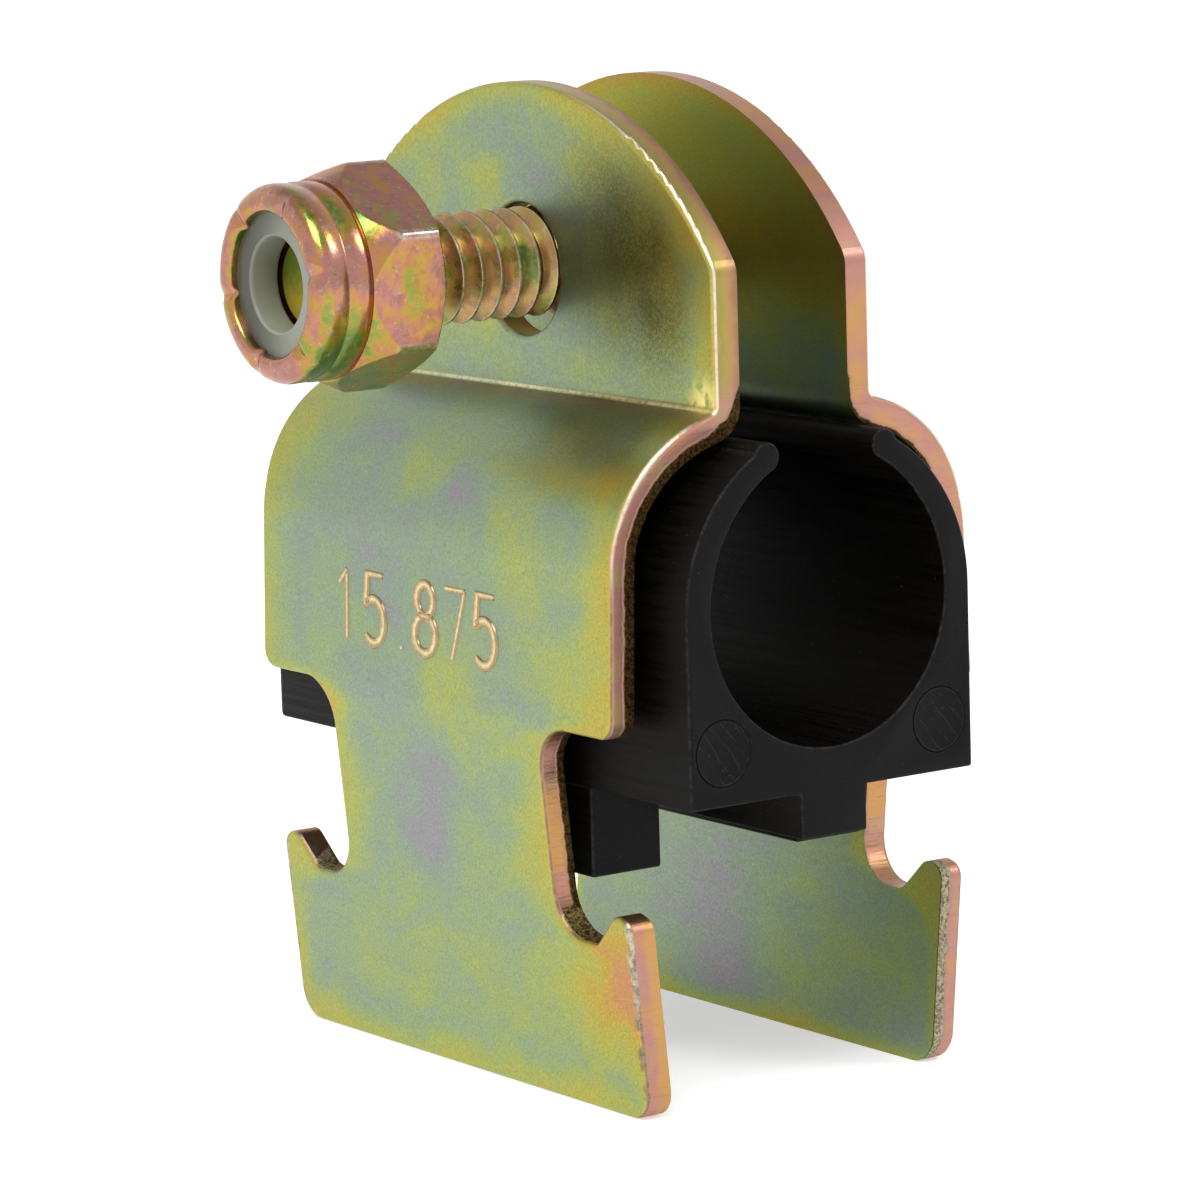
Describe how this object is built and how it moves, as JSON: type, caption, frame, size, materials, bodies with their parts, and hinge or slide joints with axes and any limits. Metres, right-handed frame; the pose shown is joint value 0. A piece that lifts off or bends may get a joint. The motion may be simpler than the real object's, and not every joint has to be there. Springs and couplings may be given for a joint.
{
  "type": "cushioned pipe clamp",
  "caption": "Cushioned clamp for slotted channel: hooked steel halves close a moulded rubber cushion round a tube, drawn together by a bolt and lock nut.",
  "frame": {"origin": "centre of the tube bore, halfway along it", "axes": "+X along the bolt towards its head, Y along the tube with the end that the picture shows at -Y, +Z away from the channel towards the ears"},
  "size_m": [0.0344, 0.0412, 0.0551],
  "materials": {
    "plated_sheet": "satin yellow chromate over zinc",
    "plated_bolt": "yellow chromate over zinc",
    "plated_nut": "glossy yellow chromate over zinc",
    "cushion_rubber": "matte",
    "nylon": "translucent"
  },
  "bodies": {
    "head_half": {"head_side_clamp_half": "plated_sheet", "cushion": "cushion_rubber"},
    "nut_half": {"nut_side_clamp_half": "plated_sheet"},
    "bolt": {"bolt": "plated_bolt"},
    "nut": {"lock_nut": "plated_nut", "nylon_insert": "nylon"}
  },
  "joints": [
    {"name": "nut_half_slide", "type": "slide", "parent": "head_half", "child": "nut_half", "axis": [1, 0, 0], "range_m": [-0.0042, 0.0004]},
    {"name": "bolt_turn", "type": "hinge", "parent": "head_half", "child": "bolt", "pos_m": [0, 0, 0.01747], "axis": [-1, 0, 0], "range_deg": [-1440, 1260]},
    {"name": "nut_travel", "type": "slide", "parent": "head_half", "child": "nut", "axis": [1, 0, 0], "range_m": [-0.0051, 0.00447], "deforming": ["nylon_insert"]}
  ],
  "couplings": [
    {"joint": "nut_travel", "follows": "bolt_turn", "m_per_rad": 0.00020213}
  ]
}
